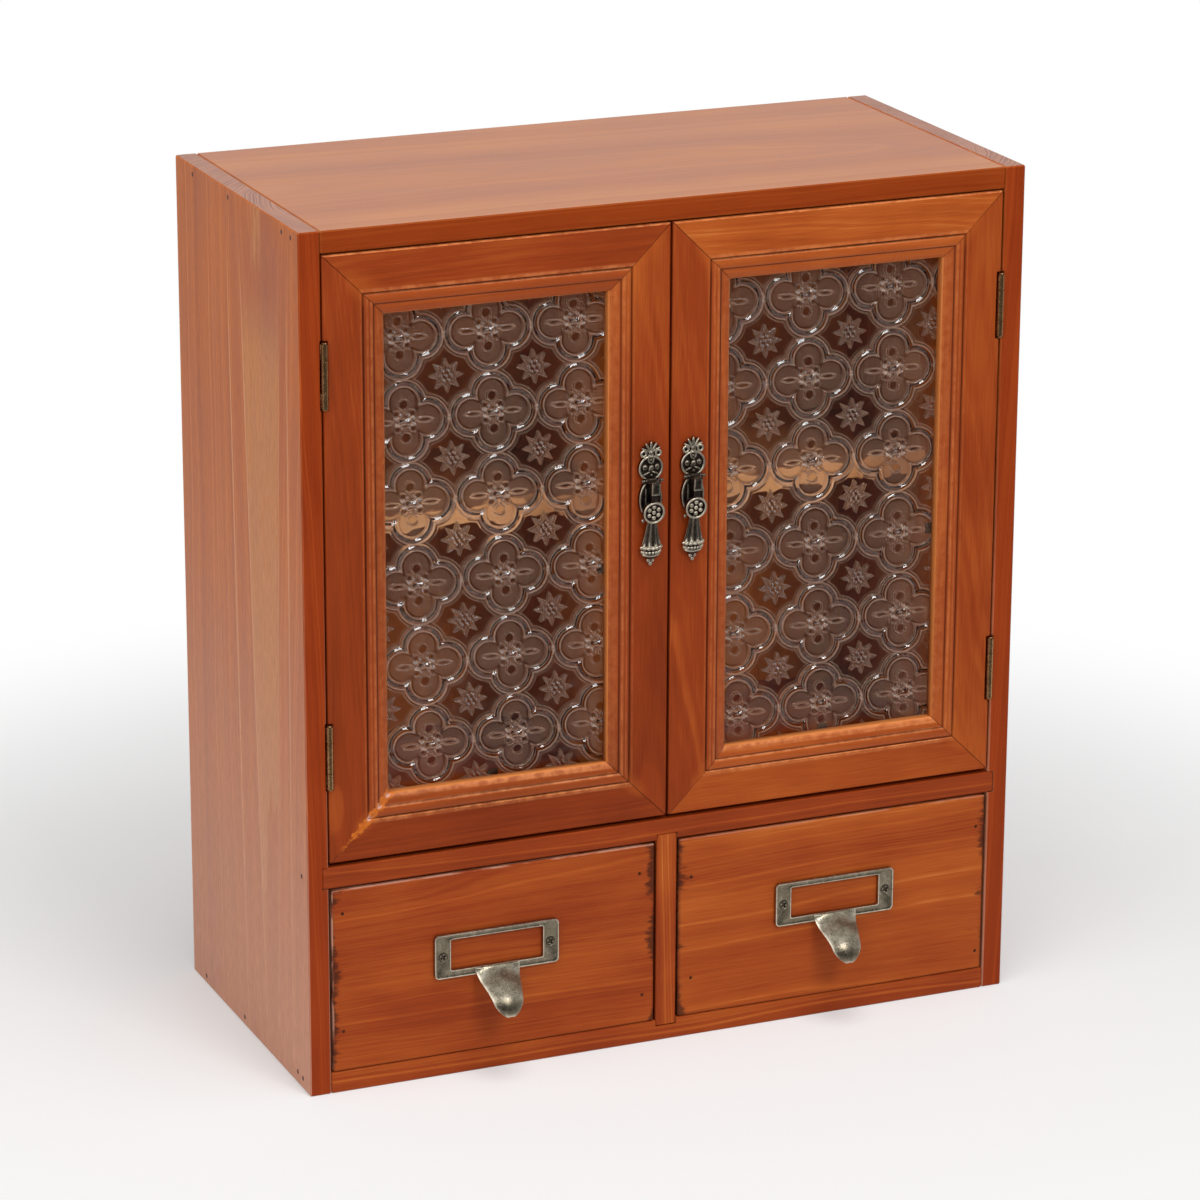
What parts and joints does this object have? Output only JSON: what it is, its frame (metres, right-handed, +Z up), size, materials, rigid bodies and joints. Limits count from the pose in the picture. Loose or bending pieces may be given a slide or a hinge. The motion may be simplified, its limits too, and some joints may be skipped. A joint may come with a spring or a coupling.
{
  "type": "countertop cabinet",
  "caption": "Small free-standing pine cabinet with a pair of embossed glass doors over two drawers, drop pulls on the doors and label-holder pulls with finger tongues.",
  "frame": {"origin": "centre of the cabinet's underside", "axes": "+X to the right seen from the front, -Y out of the front, +Z up"},
  "size_m": [0.35, 0.1853, 0.4],
  "materials": {
    "stained_pine": "satin reddish-orange stain and varnish",
    "pale_shelf_pine": "pale, thinly stained pine",
    "stained_plywood": "stained plywood, matt",
    "drawer_wood": "thin stain, matt",
    "embossed_glass": "clear glass embossed with a quatrefoil pattern",
    "antique_bronze": "dark antique bronze, rubbed bright on the high spots",
    "antique_pewter": "grey antique brass with pale rubbed edges",
    "hinge_bronze": "bronze-plated steel",
    "zinc_steel": "zinc plated",
    "catch_plastic": "brown moulded plastic"
  },
  "bodies": {
    "carcass": {"top_panel": "stained_pine", "bottom_panel": "stained_pine", "drawer_shelf": "stained_pine", "drawer_divider": "stained_pine", "centre_partition": "stained_pine", "back_panel": "stained_plywood", "left_side_panel": "stained_pine", "right_side_panel": "stained_pine", "left_shelf": "pale_shelf_pine", "right_shelf": "pale_shelf_pine", "left_catch_magnet": "catch_plastic", "right_catch_magnet": "catch_plastic", "left_upper_hinge_frame_leaf": "hinge_bronze", "left_upper_hinge_pin": "hinge_bronze", "left_lower_hinge_frame_leaf": "hinge_bronze", "left_lower_hinge_pin": "hinge_bronze", "right_upper_hinge_frame_leaf": "hinge_bronze", "right_upper_hinge_pin": "hinge_bronze", "right_lower_hinge_frame_leaf": "hinge_bronze", "right_lower_hinge_pin": "hinge_bronze"},
    "left_door": {"left_door_hinge_stile": "stained_pine", "left_door_meeting_stile": "stained_pine", "left_door_top_rail": "stained_pine", "left_door_bottom_rail": "stained_pine", "left_door_glass": "embossed_glass", "left_upper_hinge_door_leaf": "hinge_bronze", "left_lower_hinge_door_leaf": "hinge_bronze", "left_pull_plate": "antique_bronze", "left_pull_pin": "antique_bronze", "left_pull_screw": "zinc_steel", "left_catch_strike": "zinc_steel"},
    "left_drop": {"left_pull_drop": "antique_bronze"},
    "left_drawer": {"left_drawer_front": "stained_pine", "left_drawer_outer_side": "drawer_wood", "left_drawer_inner_side": "drawer_wood", "left_drawer_back": "drawer_wood", "left_drawer_bottom": "drawer_wood", "left_label_pull": "antique_pewter", "left_label_outer_screw": "antique_pewter", "left_label_inner_screw": "antique_pewter"},
    "right_door": {"right_door_hinge_stile": "stained_pine", "right_door_meeting_stile": "stained_pine", "right_door_top_rail": "stained_pine", "right_door_bottom_rail": "stained_pine", "right_door_glass": "embossed_glass", "right_upper_hinge_door_leaf": "hinge_bronze", "right_lower_hinge_door_leaf": "hinge_bronze", "right_pull_plate": "antique_bronze", "right_pull_pin": "antique_bronze", "right_pull_screw": "zinc_steel", "right_catch_strike": "zinc_steel"},
    "right_drop": {"right_pull_drop": "antique_bronze"},
    "right_drawer": {"right_drawer_front": "stained_pine", "right_drawer_outer_side": "drawer_wood", "right_drawer_inner_side": "drawer_wood", "right_drawer_back": "drawer_wood", "right_drawer_bottom": "drawer_wood", "right_label_pull": "antique_pewter", "right_label_outer_screw": "antique_pewter", "right_label_inner_screw": "antique_pewter"}
  },
  "joints": [
    {"name": "left_door_hinge", "type": "hinge", "parent": "carcass", "child": "left_door", "pos_m": [-0.1638, -0.083, 0.25], "axis": [0, 0, -1], "range_deg": [0, 170]},
    {"name": "left_drop_pivot", "type": "hinge", "parent": "left_door", "child": "left_drop", "pos_m": [-0.0103, -0.0859, 0.2725], "axis": [-1, 0, 0], "range_deg": [0, 85]},
    {"name": "left_drawer_slide", "type": "slide", "parent": "carcass", "child": "left_drawer", "axis": [0, -1, 0], "range_m": [0, 0.12]},
    {"name": "right_door_hinge", "type": "hinge", "parent": "carcass", "child": "right_door", "pos_m": [0.1638, -0.083, 0.25], "axis": [0, 0, 1], "range_deg": [0, 170]},
    {"name": "right_drop_pivot", "type": "hinge", "parent": "right_door", "child": "right_drop", "pos_m": [0.0103, -0.0859, 0.2725], "axis": [-1, 0, 0], "range_deg": [0, 85]},
    {"name": "right_drawer_slide", "type": "slide", "parent": "carcass", "child": "right_drawer", "axis": [0, -1, 0], "range_m": [0, 0.12]}
  ]
}
